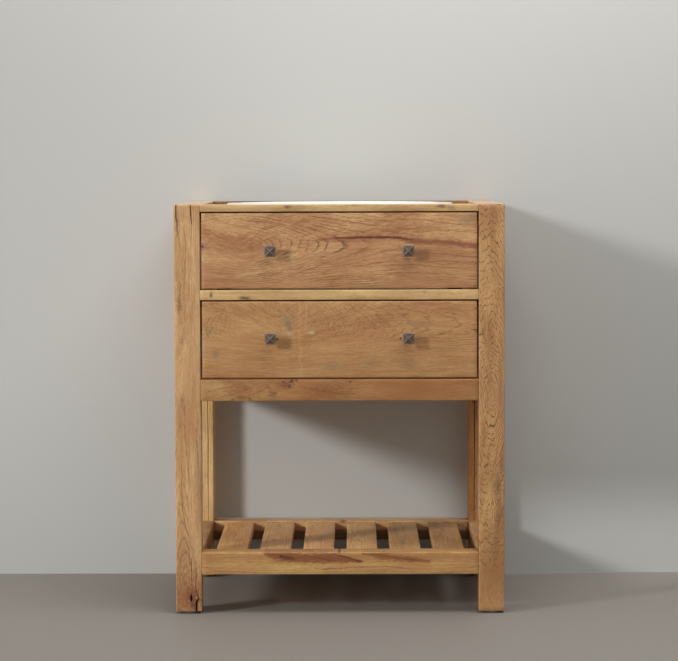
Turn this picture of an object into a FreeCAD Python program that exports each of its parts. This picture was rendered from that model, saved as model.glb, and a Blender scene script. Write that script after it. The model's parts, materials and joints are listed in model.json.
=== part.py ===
"""Bathroom vanity cabinet in oak, with an oval basin, one drawer and an open slatted shelf.

Millimetres. +X is to the right, +Z is up and the front faces -Y. The origin is at the bottom centre of
the whole object's box: on the floor, midway between the knobs' tips and the back of the rear legs.
Every loose piece is one node in parts/. Pieces that come in mirrored pairs end in _left and _right,
where left is the side of negative X.
"""
import FreeCAD
import Part

import os

V = FreeCAD.Vector

# ---- Overall size ----
WIDTH = 686.0
DEPTH = 546.0                 # front of the front legs to the back of the rear legs
HEIGHT = 854.0
KNOB_REACH = 28.0             # how far a knob stands out from its front

BACK = (DEPTH + KNOB_REACH) / 2
FRONT = BACK - DEPTH
MIDDLE = (FRONT + BACK) / 2   # halfway between the front and the back of the wood

# ---- Legs and glides ----
LEG = 54.0                    # square section
GLIDE_HEIGHT = 5.0
GLIDE_RADIUS = 14.0
GLIDE_PIN_RADIUS = 2.5
GLIDE_PIN_LENGTH = 18.0
GLIDE_EASE = 1.0
EASE = 1.5                    # rounding of the boards' long edges
LEG_EASE = 2.0

INNER = WIDTH / 2 - LEG       # inner face of the left and right legs
FRONT_IN = FRONT + LEG        # back face of the front legs
BACK_IN = BACK - LEG          # front face of the rear legs

# ---- Heights of the rails, (low, high) ----
TOP_Z = (839.0, HEIGHT)
MIDDLE_Z = (656.0, 677.0)
BOTTOM_Z = (446.0, 491.0)
SHELF_Z = (83.0, 129.0)
REAR_TOP_Z = (784.0, HEIGHT)

RAIL = 22.0                   # thickness of the front and side bottom rails
REAR_RAIL = 20.0
TENON_LENGTH = 25.0
TENON_INSET = 6.0             # from a leg's outer face to the near face of a tenon
TENON = 20.0                  # thickness of the tenons of the rails that are as deep as a leg
SHELF_TENON = 18.0
APRON_TENON = 10.0
SIDE_TENON_X = (WIDTH / 2 - 23.0, WIDTH / 2 - TENON_INSET)
REAR_TENON_Y = (BACK - 15.0, BACK - 5.0)
TOP_TENON_Z = (TOP_Z[0] + 7.0, TOP_Z[1] - 3.0)
MIDDLE_TENON_Z = (MIDDLE_Z[0] + 5.0, MIDDLE_Z[1] - 5.0)
BOTTOM_TENON_Z = (BOTTOM_Z[0] + 6.0, BOTTOM_Z[1] - 11.0)
SHELF_TENON_Z = (SHELF_Z[0] + 9.0, SHELF_Z[1] - 9.0)
REAR_TOP_TENON_Z = (REAR_TOP_Z[0] + 10.0, REAR_TOP_Z[1] - 10.0)
SIDE_RECESS = 7.0             # side bottom rails lie this far inside the legs' outer faces

# ---- Side panels ----
PANEL = 12.0
PANEL_OUT = WIDTH / 2 - 12.0  # outer face
LEG_GROOVE = 8.0
RAIL_GROOVE = 4.0

# ---- Fixed upper front ----
FRONT_THICKNESS = 20.0
UPPER_FRONT_HALF = 285.7
UPPER_FRONT_Z = (680.0, 836.5)
UPPER_FRONT_RECESS = 1.5

# ---- Battens behind the fronts ----
BATTEN = 20.0                 # thickness, front to back
BATTEN_HEIGHT = 20.0          # of the level batten under the top rail
UPRIGHT_X = (225.0, 255.0)
STRIP_Y = (FRONT_IN - BATTEN, FRONT_IN)
STRIP_LOW = 638.0             # underside of the strip below the middle rail

# ---- Drawer ----
DRAWER_FRONT_HALF = 285.3
DRAWER_FRONT_Z = (494.4, 653.2)
BOARD = 12.0                  # thickness of the drawer box's boards
BOX_LENGTH = 450.0
BOX_HALF = 276.3              # outer face of a drawer side
BOX_Z = (503.0, 633.0)
BOX_BOTTOM_Z = (511.0, 517.0)
BOTTOM_GROOVE = 6.0
NOTCH_HALF = 75.0             # clear half-width of the notch round the trap
NOTCH_DEPTH = 261.0           # from the rear of the box to the notch's front wall
FINGERS = 5                   # fingers of each corner joint

BOX_FRONT = FRONT + FRONT_THICKNESS
BOX_BACK = BOX_FRONT + BOX_LENGTH

# ---- Drawer slides: section measured from the leg's inner face towards the drawer ----
SLIDE_Z = 560.0
SLIDE_LENGTH = 446.0
SLIDE_START = BOX_FRONT + 2.0
STEEL = 1.5
OUTER_HALF_HEIGHT = 22.5
OUTER_DEPTH = 9.5
OUTER_LIP = 2.5
INTERMEDIATE_HALF_HEIGHT = 17.0
INTERMEDIATE_STEEL = 1.2
INTERMEDIATE_X = (278.2, 287.0)
INTERMEDIATE_WEB_X = (282.6, 283.8)
INNER_HALF_HEIGHT = 11.8
INNER_X = (BOX_HALF, 281.8)
BALL_RADIUS = 1.95
BALL_COUNT = 9
BALL_PITCH = 14.0
CAGE = 1.6                    # thickness of the strip that carries the balls
OUTER_BALLS = (284.2, 19.0)   # (x, height above or below the slide's centre line)
INNER_BALLS = (280.2, 13.8)
PACKER_HEIGHT = 46.0

# ---- Shelf ----
SLAT_COUNT = 6
SLAT_WIDTH = 65.0
SLAT_THICKNESS = 18.0
SLAT_DROP = 4.0               # from the shelf rails' top to the slats' top
LEDGE = 20.0                  # width of the cleats under the slats
CLEAT_HEIGHT = 18.0

# ---- Basin ----
BASIN_HALF = 245.0            # half of the oval's length, along X
BASIN_HALF_DEPTH = 200.0      # half of its width, along Y
BASIN_FLANGE = 15.0
BASIN_WALL = 10.0
BASIN_RIM = 221.0             # half the length of the opening between the rounded rims
BASIN_CORNER = 4.0            # rounding of the flange's upper edge
BASIN_FLOOR = 713.0
BASIN_FLOOR_RADIUS = 60.0     # half the length of the flat middle of the floor
BASIN_BOSS_Z = 690.0
BASIN_BOSS_RADIUS = 34.0
# Points of the bowl's profile along its long half, (distance from the centre, height), from rim to floor.
BASIN_INSIDE = (
    (216.0, 849.0), (210.0, 812.0), (190.0, 766.0), (150.0, 734.0), (100.0, 719.0),
    (BASIN_FLOOR_RADIUS, BASIN_FLOOR))
BASIN_UNDERSIDE = (
    (BASIN_FLOOR_RADIUS, BASIN_FLOOR - BASIN_WALL), (102.0, 709.0), (157.0, 725.0), (199.0, 758.0),
    (220.0, 806.0), (226.0, HEIGHT - BASIN_FLANGE))
DRAIN_RADIUS = 22.5
DRAIN_SEAT_RADIUS = 31.0
DRAIN_SEAT_DEPTH = 3.0
BEARER_X = (228.0, 252.0)
BEARER_HEIGHT = 40.0

# ---- Knobs ----
KNOB_X = 143.0
KNOB_UPPER_Z = 758.0
KNOB_LOWER_Z = 577.0
KNOB_SIZE = 24.0              # side of the square head
KNOB_STEM_LENGTH = 15.0
KNOB_TAPER = 4.0              # depth of the slope behind the head
KNOB_EDGE = 2.5
KNOB_TIP = 3.0                # side of the small flat at the pyramid's tip
STEM_RADIUS = 5.5
STEM_FOOT_RADIUS = 8.5
STEM_FOOT = 2.0
KNOB_THREAD = 8.0             # how deep the screw goes into the knob
MACHINE_SCREW_RADIUS = 2.0

# ---- Wood screws ----
SCREW_RADIUS = 1.75
SCREW_HEAD_RADIUS = 3.5
SCREW_HEAD = 2.0
SCREW_POINT = 3.0
SCREW_SHORT = 28.0
SCREW_LONG = 40.0
UPRIGHT_SCREW = 35.0
BEARER_SCREW = 50.0
SLIDE_SCREW = 19.5
DRAWER_SLIDE_SCREW = 12.2
CLEAT_SCREW_X = (-210.0, 0.0, 210.0)
BATTEN_SCREW_X = (-120.0, 120.0)
UPRIGHT_SCREW_Z = (705.0, 776.5)
DRAWER_FRONT_SCREW_X = (-215.0, 215.0)
DRAWER_FRONT_SCREW_Z = (538.0, 608.0)
SLIDE_SCREW_Y = (-224.0, 0.0, 193.0)
DRAWER_SLIDE_SCREW_Y = (-199.0, MIDDLE, 171.0)

# ---- Wall fixing holes in the rear top rail ----
WALL_HOLE_RADIUS = 3.0
WALL_HOLE_SPACING = 406.4
WALL_HOLE_Z = 819.0

SIDES = ((-1, "left"), (1, "right"))


# ---- Helpers ----
def block(x, y, z):
    """Rectangular block that spans the (low, high) pairs x, y and z."""
    return Part.makeBox(x[1] - x[0], y[1] - y[0], z[1] - z[0], V(x[0], y[0], z[0]))


def eased(board, direction, radius=EASE):
    """The board with its long edges, those along the direction, rounded."""
    edges = [e for e in board.Edges if abs(e.tangentAt(e.FirstParameter).dot(direction)) > 0.999]
    return board.makeFillet(radius, edges)


def to_side(side, shape):
    """A shape made for the right-hand side (side 1), or its mirror image for the left (side -1)."""
    return shape if side > 0 else shape.mirror(V(0, 0, 0), V(1, 0, 0))


def about(centre, half):
    """The (low, high) pair centred on a value."""
    return (centre - half, centre + half)


def rail_across(y, z, tenon_y, tenon_z):
    """A rail along X between two legs, with a tenon at each end."""
    rail = eased(block((-INNER, INNER), y, z), V(1, 0, 0))
    reach = INNER + TENON_LENGTH
    return rail.fuse(block((-reach, reach), tenon_y, tenon_z)).removeSplitter()


def rail_along(side, x, z, tenon_x, tenon_z):
    """A rail along Y between a front and a rear leg, with a tenon at each end."""
    rail = eased(block(x, (FRONT_IN, BACK_IN), z), V(0, 1, 0))
    tenons = block(tenon_x, (FRONT_IN - TENON_LENGTH, BACK_IN + TENON_LENGTH), tenon_z)
    return to_side(side, rail.fuse(tenons).removeSplitter())


def screw(head, tip, countersunk=True, radius=SCREW_RADIUS):
    """A screw whose head's underside or flush face is centred on head, and whose point is at tip."""
    way = (tip - head).normalize()
    length = (tip - head).Length
    point = SCREW_POINT if countersunk else 0.0
    shank = Part.makeCylinder(radius, length - point, head, way)
    if countersunk:
        top = Part.makeCone(SCREW_HEAD_RADIUS, radius, SCREW_HEAD, head, way)
        taper = Part.makeCone(radius, radius * 0.2, point, tip - way * point, way)
        return shank.fuse([top, taper]).removeSplitter()
    cap = Part.makeCylinder(SCREW_HEAD_RADIUS, SCREW_HEAD, head - way * SCREW_HEAD, way)
    return shank.fuse(cap).removeSplitter()


def finger_joint(first, second, corner_x, corner_y, z):
    """Cut two boards that overlap in one corner into fingers that alternate up its height."""
    step = (z[1] - z[0]) / FINGERS
    for i in range(FINGERS):
        cell = block(corner_x, corner_y, (z[0] + i * step, z[0] + (i + 1) * step))
        if i % 2:
            first = first.cut(cell)
        else:
            second = second.cut(cell)
    return first, second


# ---- Frame ----
def legs():
    """The four square legs, before they are mortised."""
    made = {}
    for y, place in (((FRONT, FRONT_IN), "front"), ((BACK_IN, BACK), "rear")):
        for side, name in SIDES:
            leg = eased(block((INNER, WIDTH / 2), y, (GLIDE_HEIGHT, HEIGHT)), V(0, 0, 1), LEG_EASE)
            made[f"leg_{place}_{name}"] = to_side(side, leg)
    return made


def frame_rails():
    """Every rail between the legs, apart from the shelf's."""
    deep_tenon = (FRONT + TENON_INSET, FRONT + TENON_INSET + TENON)
    apron_tenon = (FRONT + TENON_INSET, FRONT + TENON_INSET + APRON_TENON)
    rear_y = (BACK - REAR_RAIL, BACK)
    front_y = (FRONT, FRONT_IN)
    made = {
        "front_top_rail": rail_across(front_y, TOP_Z, deep_tenon, TOP_TENON_Z),
        "front_middle_rail": rail_across(front_y, MIDDLE_Z, deep_tenon, MIDDLE_TENON_Z),
        "front_bottom_rail": rail_across((FRONT, FRONT + RAIL), BOTTOM_Z, apron_tenon, BOTTOM_TENON_Z),
        "rear_top_rail": rail_across(rear_y, REAR_TOP_Z, REAR_TENON_Y, REAR_TOP_TENON_Z),
        "rear_bottom_rail": rail_across(rear_y, BOTTOM_Z, REAR_TENON_Y, BOTTOM_TENON_Z),
    }
    rail_x = (WIDTH / 2 - SIDE_RECESS - RAIL, WIDTH / 2 - SIDE_RECESS)
    tenon_x = (rail_x[0] + TENON_INSET, rail_x[1] - TENON_INSET)
    for side, name in SIDES:
        made[f"side_top_rail_{name}"] = rail_along(
            side, (INNER, WIDTH / 2), TOP_Z, SIDE_TENON_X, TOP_TENON_Z)
        made[f"side_bottom_rail_{name}"] = rail_along(side, rail_x, BOTTOM_Z, tenon_x, BOTTOM_TENON_Z)
    for sign in (-1, 1):
        hole = Part.makeCylinder(
            WALL_HOLE_RADIUS, REAR_RAIL, V(sign * WALL_HOLE_SPACING / 2, BACK - REAR_RAIL, WALL_HOLE_Z),
            V(0, 1, 0))
        made["rear_top_rail"] = made["rear_top_rail"].cut(hole)
    return made


def side_panels():
    """The thin panels that close the cabinet's sides, held in grooves all round."""
    made = {}
    for side, name in SIDES:
        panel = block(
            (PANEL_OUT - PANEL, PANEL_OUT),
            (FRONT_IN - LEG_GROOVE, BACK_IN + LEG_GROOVE),
            (BOTTOM_Z[1] - LEG_GROOVE, TOP_Z[0] + RAIL_GROOVE))
        made[f"side_panel_{name}"] = to_side(side, panel)
    return made


def upper_front():
    """The fixed board above the drawer, and the battens that hold it and close the gaps behind it."""
    rear_y = FRONT + UPPER_FRONT_RECESS + FRONT_THICKNESS
    board = eased(
        block((-UPPER_FRONT_HALF, UPPER_FRONT_HALF), (rear_y - FRONT_THICKNESS, rear_y), UPPER_FRONT_Z),
        V(1, 0, 0))
    across = (-INNER, INNER)
    level_low = TOP_Z[0] - BATTEN_HEIGHT
    upright = block(UPRIGHT_X, (rear_y, rear_y + BATTEN), (MIDDLE_Z[1], level_low))
    battens = [to_side(side, upright) for side, _ in SIDES]
    battens.append(block(across, (rear_y, rear_y + BATTEN), (level_low, TOP_Z[0])))
    battens.append(block(across, STRIP_Y, (STRIP_LOW, MIDDLE_Z[0])))
    return {"upper_front": board, "front_battens": Part.makeCompound(battens)}


# ---- Shelf ----
def shelf():
    """The open shelf: four rails, two cleats and the slats that lie on them."""
    front_tenon = (FRONT + TENON_INSET, FRONT + TENON_INSET + SHELF_TENON)
    rear_tenon = (BACK - TENON_INSET - SHELF_TENON, BACK - TENON_INSET)
    made = {
        "shelf_front_rail": rail_across((FRONT, FRONT_IN), SHELF_Z, front_tenon, SHELF_TENON_Z),
        "shelf_rear_rail": rail_across((BACK_IN, BACK), SHELF_Z, rear_tenon, SHELF_TENON_Z),
    }
    for side, name in SIDES:
        made[f"shelf_side_rail_{name}"] = rail_along(
            side, (INNER, WIDTH / 2), SHELF_Z, SIDE_TENON_X, SHELF_TENON_Z)
    slat_top = SHELF_Z[1] - SLAT_DROP
    slat_z = (slat_top - SLAT_THICKNESS, slat_top)
    cleat_z = (slat_z[0] - CLEAT_HEIGHT, slat_z[0])
    made["shelf_cleat_front"] = block((-INNER, INNER), (FRONT_IN, FRONT_IN + LEDGE), cleat_z)
    made["shelf_cleat_rear"] = block((-INNER, INNER), (BACK_IN - LEDGE, BACK_IN), cleat_z)
    for number, centre in enumerate(slat_centres(), start=1):
        slat = block(about(centre, SLAT_WIDTH / 2), (FRONT_IN, BACK_IN), slat_z)
        made[f"shelf_slat_{number}"] = eased(slat, V(0, 1, 0))
    return made


def slat_centres():
    """X of each slat's middle, with equal gaps between slats and beside the side rails."""
    gap = (2 * INNER - SLAT_COUNT * SLAT_WIDTH) / (SLAT_COUNT + 1)
    return [-INNER + gap + SLAT_WIDTH / 2 + i * (SLAT_WIDTH + gap) for i in range(SLAT_COUNT)]


# ---- Basin ----
def basin():
    """The oval basin: a revolved bowl squeezed to an oval, closed by a flat floor round the drain."""
    flange = HEIGHT - BASIN_FLANGE
    underneath = BASIN_FLOOR - BASIN_WALL
    inside = Part.BSplineCurve()
    inside.interpolate([V(x, 0, z) for x, z in BASIN_INSIDE])
    underside = Part.BSplineCurve()
    underside.interpolate([V(x, 0, z) for x, z in BASIN_UNDERSIDE])
    rim = V(BASIN_RIM, 0, HEIGHT)
    start = inside.StartPoint
    rim_bend = start + V((rim.x - start.x) * 0.26, 0, (rim.z - start.z) * 0.72)
    corner_top = V(BASIN_HALF - BASIN_CORNER, 0, HEIGHT)
    corner_low = V(BASIN_HALF, 0, HEIGHT - BASIN_CORNER)
    corner_bend = V(BASIN_HALF, 0, HEIGHT) - V(1, 0, 1) * BASIN_CORNER * 0.3
    profile = Part.Wire([curve.toShape() for curve in (
        inside,
        Part.Arc(start, rim_bend, rim),
        Part.LineSegment(rim, corner_top),
        Part.Arc(corner_top, corner_bend, corner_low),
        Part.LineSegment(corner_low, V(BASIN_HALF, 0, flange)),
        Part.LineSegment(V(BASIN_HALF, 0, flange), underside.EndPoint),
        underside,
    )])
    squeeze = FreeCAD.Matrix()
    squeeze.scale(V(1, BASIN_HALF_DEPTH / BASIN_HALF, 1))
    bowl = profile.revolve(V(0, 0, 0), V(0, 0, 1), 360).transformGeometry(squeeze)
    seat = BASIN_FLOOR - DRAIN_SEAT_DEPTH
    drain = Part.makePolygon([
        V(DRAIN_SEAT_RADIUS, 0, BASIN_FLOOR), V(DRAIN_SEAT_RADIUS, 0, seat), V(DRAIN_RADIUS, 0, seat),
        V(DRAIN_RADIUS, 0, BASIN_BOSS_Z), V(BASIN_BOSS_RADIUS, 0, BASIN_BOSS_Z),
        V(BASIN_BOSS_RADIUS, 0, underneath)]).revolve(V(0, 0, 0), V(0, 0, 1), 360)
    faces = bowl.Faces + drain.Faces
    for z, radius in ((BASIN_FLOOR, DRAIN_SEAT_RADIUS), (underneath, BASIN_BOSS_RADIUS)):
        oval = next(e for e in bowl.Edges if e.isClosed() and abs(e.CenterOfMass.z - z) < 0.01)
        ring = Part.makeCircle(radius, V(0, 0, z))
        faces.append(Part.makeFace([Part.Wire(oval), Part.Wire(ring)], "Part::FaceMakerBullseye"))
    shell = Part.makeShell(faces)
    shell.sewShape()
    solid = Part.makeSolid(shell)
    if solid.Volume < 0:
        solid.reverse()
    solid.translate(V(0, MIDDLE, 0))
    return {"basin": solid}


def basin_bearers():
    """The two battens under the ends of the basin's flange."""
    made = {}
    start = FRONT + UPPER_FRONT_RECESS + FRONT_THICKNESS + BATTEN
    top = HEIGHT - BASIN_FLANGE
    for side, name in SIDES:
        batten = block(BEARER_X, (start, BACK - REAR_RAIL), (top - BEARER_HEIGHT, top))
        made[f"basin_bearer_{name}"] = to_side(side, batten)
    return made


# ---- Drawer ----
def drawer():
    """The drawer's front and the box behind it, notched at the rear for the basin's trap."""
    notch_front = BOX_BACK - NOTCH_DEPTH
    notch_out = NOTCH_HALF + BOARD
    side_x = (BOX_HALF - BOARD, BOX_HALF)
    back_y = (BOX_BACK - BOARD, BOX_BACK)
    back_z = (BOX_BOTTOM_Z[1], BOX_Z[1])
    made = {
        "drawer_front": eased(
            block((-DRAWER_FRONT_HALF, DRAWER_FRONT_HALF), (FRONT, BOX_FRONT), DRAWER_FRONT_Z),
            V(1, 0, 0)),
        "drawer_notch_front": block(
            about(0, notch_out), (notch_front - BOARD, notch_front), BOX_Z),
    }
    box_front = block((-BOX_HALF, BOX_HALF), (BOX_FRONT, BOX_FRONT + BOARD), BOX_Z)
    for side, name in SIDES:
        board = to_side(side, block(side_x, (BOX_FRONT, BOX_BACK), BOX_Z))
        back = to_side(side, block((notch_out, BOX_HALF), back_y, back_z))
        corner_x = side_x if side > 0 else (-side_x[1], -side_x[0])
        board, box_front = finger_joint(
            board, box_front, corner_x, (BOX_FRONT, BOX_FRONT + BOARD), BOX_Z)
        back, board = finger_joint(back, board, corner_x, back_y, back_z)
        made[f"drawer_side_{name}"] = board
        made[f"drawer_back_{name}"] = back
        made[f"drawer_notch_side_{name}"] = to_side(
            side, block((NOTCH_HALF, notch_out), (notch_front, BOX_BACK), BOX_Z))
    made["drawer_box_front"] = box_front
    reach = BOX_HALF - BOARD + BOTTOM_GROOVE
    panel = block((-reach, reach), (BOX_FRONT + BOARD - BOTTOM_GROOVE, BOX_BACK), BOX_BOTTOM_Z)
    cutout = block(
        about(0, notch_out - BOTTOM_GROOVE), (notch_front - BOTTOM_GROOVE, BOX_BACK + 1), BOX_BOTTOM_Z)
    panel = panel.cut(cutout)
    for node in [name for name in made if name != "drawer_front"]:
        made[node] = made[node].cut(panel)
    made["drawer_bottom"] = panel
    return made


# ---- Slides ----
def channel(web_x, flange_x, half_height, steel):
    """A channel along Y: an upright web between two level flanges."""
    y = (SLIDE_START, SLIDE_START + SLIDE_LENGTH)
    shape = block(web_x, y, about(SLIDE_Z, half_height))
    for low in (SLIDE_Z - half_height, SLIDE_Z + half_height - steel):
        shape = shape.fuse(block(flange_x, y, (low, low + steel)))
    return shape.removeSplitter()


def slide_members():
    """The three nested members of each drawer slide and the packers behind the outer ones."""
    made = {}
    y = (SLIDE_START, SLIDE_START + SLIDE_LENGTH)
    open_x = INNER - OUTER_DEPTH
    outer = channel((INNER - STEEL, INNER), (open_x, INNER), OUTER_HALF_HEIGHT, STEEL)
    for way in (-1, 1):
        lip_out = SLIDE_Z + way * (OUTER_HALF_HEIGHT - STEEL)
        lip_z = sorted((lip_out, lip_out - way * OUTER_LIP))
        outer = outer.fuse(block((open_x, open_x + STEEL), y, lip_z))
    outer = outer.removeSplitter()
    intermediate = channel(
        INTERMEDIATE_WEB_X, INTERMEDIATE_X, INTERMEDIATE_HALF_HEIGHT, INTERMEDIATE_STEEL)
    inner = channel(
        (BOX_HALF, BOX_HALF + INTERMEDIATE_STEEL), INNER_X, INNER_HALF_HEIGHT, INTERMEDIATE_STEEL)
    for side, name in SIDES:
        made[f"slide_outer_{name}"] = to_side(side, outer)
        made[f"slide_intermediate_{name}"] = to_side(side, intermediate)
        made[f"slide_inner_{name}"] = to_side(side, inner)
    packer = block(
        (INNER, PANEL_OUT - PANEL), (FRONT_IN, BACK_IN), about(SLIDE_Z, PACKER_HEIGHT / 2))
    made["slide_packers"] = Part.makeCompound([to_side(side, packer) for side, _ in SIDES])
    made["slide_outer_balls"] = ball_cages(OUTER_BALLS, SLIDE_START + 60.0)
    made["slide_inner_balls"] = ball_cages(INNER_BALLS, SLIDE_START + 20.0)
    return made


def ball_cages(place, start):
    """Four strips of captive balls, one above and one below the centre line of each slide."""
    x, rise = place
    length = (BALL_COUNT + 1) * BALL_PITCH
    cages = []
    for way in (-1, 1):
        z = SLIDE_Z + way * rise
        cage = block(about(x, CAGE / 2), (start, start + length), about(z, CAGE / 2))
        balls = [
            Part.makeSphere(BALL_RADIUS, V(x, start + (i + 1) * BALL_PITCH, z)) for i in range(BALL_COUNT)]
        cage = cage.fuse(balls)
        cages += [to_side(side, cage) for side, _ in SIDES]
    return Part.makeCompound(cages)


# ---- Knobs, glides and screws ----
def square_section(half, y):
    """A square outline standing across Y."""
    corners = [V(-half, y, -half), V(half, y, -half), V(half, y, half), V(-half, y, half)]
    return Part.makePolygon(corners + corners[:1])


def knob_at(x, face_y, z):
    """A square knob with a low pyramid face on a turned stem."""
    out = V(0, -1, 0)
    foot = Part.makeCone(STEM_FOOT_RADIUS, STEM_FOOT_RADIUS - 1.0, STEM_FOOT, V(0, 0, 0), out)
    stem = Part.makeCylinder(STEM_RADIUS, KNOB_STEM_LENGTH, V(0, 0, 0), out)
    half = KNOB_SIZE / 2
    taper_end = KNOB_STEM_LENGTH + KNOB_TAPER
    edge_end = taper_end + KNOB_EDGE
    sections = [
        (STEM_RADIUS + 0.5, KNOB_STEM_LENGTH - 0.5), (half, taper_end), (half, edge_end),
        (KNOB_TIP / 2, KNOB_REACH)]
    head = Part.makeLoft([square_section(size, -reach) for size, reach in sections], True, True)
    thread = Part.makeCylinder(MACHINE_SCREW_RADIUS, KNOB_THREAD, V(0, 0, 0), out)
    knob = stem.fuse([foot, head]).removeSplitter().cut(thread)
    knob.translate(V(x, face_y, z))
    return knob


def knobs():
    """The four knobs, and for each row the machine screws that hold it from behind."""
    made = {}
    rows = (
        ("upper", FRONT + UPPER_FRONT_RECESS, KNOB_UPPER_Z, FRONT_THICKNESS),
        ("lower", FRONT, KNOB_LOWER_Z, FRONT_THICKNESS + BOARD),
    )
    for row, face_y, z, thickness in rows:
        screws = []
        for side, name in SIDES:
            x = side * KNOB_X
            made[f"knob_{row}_{name}"] = knob_at(x, face_y, z)
            screws.append(screw(
                V(x, face_y + thickness, z), V(x, face_y - KNOB_THREAD, z), False,
                MACHINE_SCREW_RADIUS))
        made[f"knob_screws_{row}"] = Part.makeCompound(screws)
    return made


def leg_glides():
    """The four nylon glides, each a disc with a pin up into its leg."""
    glides = []
    for x in about(0, WIDTH / 2 - LEG / 2):
        for y in (FRONT + LEG / 2, BACK - LEG / 2):
            disc = Part.makeCylinder(GLIDE_RADIUS, GLIDE_HEIGHT, V(x, y, 0))
            disc = disc.makeFillet(GLIDE_EASE, [e for e in disc.Edges if e.BoundBox.ZMax < 0.1])
            pin = Part.makeCylinder(GLIDE_PIN_RADIUS, GLIDE_PIN_LENGTH, V(x, y, GLIDE_HEIGHT))
            glides.append(disc.fuse(pin))
    return {"leg_glides": Part.makeCompound(glides)}


def cabinet_screws():
    """The wood screws of the shelf, the battens, the basin bearers and the outer slide members."""
    screws = []
    cleat_low = SHELF_Z[1] - SLAT_DROP - SLAT_THICKNESS - CLEAT_HEIGHT
    cleat_mid = cleat_low + CLEAT_HEIGHT / 2
    for edge, way in ((FRONT_IN, 1), (BACK_IN, -1)):
        under = edge + way * LEDGE / 2
        for x in slat_centres():
            screws.append(screw(V(x, under, cleat_low), V(x, under, cleat_low + SCREW_SHORT)))
        face = edge + way * LEDGE
        for x in CLEAT_SCREW_X:
            screws.append(screw(V(x, face, cleat_mid), V(x, face - way * SCREW_LONG, cleat_mid)))
    batten_back = FRONT + UPPER_FRONT_RECESS + FRONT_THICKNESS + BATTEN
    level_low = TOP_Z[0] - BATTEN_HEIGHT
    for x in BATTEN_SCREW_X:
        for y, low in ((batten_back - BATTEN / 2, level_low), (sum(STRIP_Y) / 2, STRIP_LOW)):
            screws.append(screw(V(x, y, low), V(x, y, low + SCREW_SHORT)))
    bearer_z = HEIGHT - BASIN_FLANGE - BEARER_HEIGHT / 2
    for sign in (-1, 1):
        x = sign * sum(UPRIGHT_X) / 2
        for z in UPRIGHT_SCREW_Z:
            screws.append(screw(V(x, batten_back, z), V(x, batten_back - UPRIGHT_SCREW, z)))
        screws.append(screw(V(x, BACK, bearer_z), V(x, BACK - BEARER_SCREW, bearer_z)))
        web = INNER - STEEL
        for y in SLIDE_SCREW_Y:
            screws.append(screw(
                V(sign * web, y, SLIDE_Z), V(sign * (web + SLIDE_SCREW), y, SLIDE_Z), False))
    return {"cabinet_screws": Part.makeCompound(screws)}


def drawer_screws():
    """The screws that hold the drawer's front to its box, and the inner slide members to its sides."""
    screws = []
    inside = BOX_FRONT + BOARD
    for x in DRAWER_FRONT_SCREW_X:
        for z in DRAWER_FRONT_SCREW_Z:
            screws.append(screw(V(x, inside, z), V(x, inside - SCREW_SHORT, z)))
    web = BOX_HALF + INTERMEDIATE_STEEL
    for sign in (-1, 1):
        for y in DRAWER_SLIDE_SCREW_Y:
            screws.append(screw(
                V(sign * web, y, SLIDE_Z), V(sign * (web - DRAWER_SLIDE_SCREW), y, SLIDE_Z), False))
    return {"drawer_screws": Part.makeCompound(screws)}


# ---- Assembly ----
def cut_all(parts, nodes, tool):
    """Cut one tool out of each node that it reaches."""
    for node in nodes:
        if parts[node].BoundBox.intersect(tool.BoundBox):
            parts[node] = parts[node].cut(tool)


def build():
    """Every piece, with mortises, grooves and screw holes cut where one piece enters another."""
    parts = legs()
    leg_names = list(parts)
    for group in (
            frame_rails(), shelf(), side_panels(), upper_front(), basin(), basin_bearers(), drawer(),
            slide_members()):
        parts.update(group)
    rails = [name for name in parts if "rail" in name]
    for name in rails:
        cut_all(parts, leg_names, parts[name])
    for _, side in SIDES:
        cut_all(parts, leg_names + rails, parts[f"side_panel_{side}"])
    screwed = [name for name in parts if not name.endswith("_balls")]
    fixings = {**leg_glides(), **cabinet_screws(), **drawer_screws()}
    for name, shape in knobs().items():
        if name.startswith("knob_screws"):
            fixings[name] = shape
        else:
            parts[name] = shape
    for shape in fixings.values():
        for solid in shape.Solids:
            cut_all(parts, screwed, solid)
    parts.update(fixings)
    return parts


def main():
    """Write one STEP file for each piece."""
    os.makedirs("parts", exist_ok=True)
    for name, shape in build().items():
        if not (shape.isValid() and shape.Volume > 0):
            raise ValueError(f"{name} is not a valid solid")
        shape.exportStep(f"parts/{name}.step")
        print(f"{name}: {len(shape.Solids)} solid(s), {shape.Volume / 1000:.1f} cm3")


main()
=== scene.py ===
"""The looks of the bathroom vanity cabinet: worn oak boards, a glazed basin and dark square knobs.

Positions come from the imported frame, in metres. A board's own measures, such as the places of its knots,
cracks and stains, are in millimetres from the board's centre: l along its grain, w across its show face.
"""

import json
import math

import bmesh
import bpy
import numpy as np
from mathutils import Matrix, Vector, noise


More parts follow.
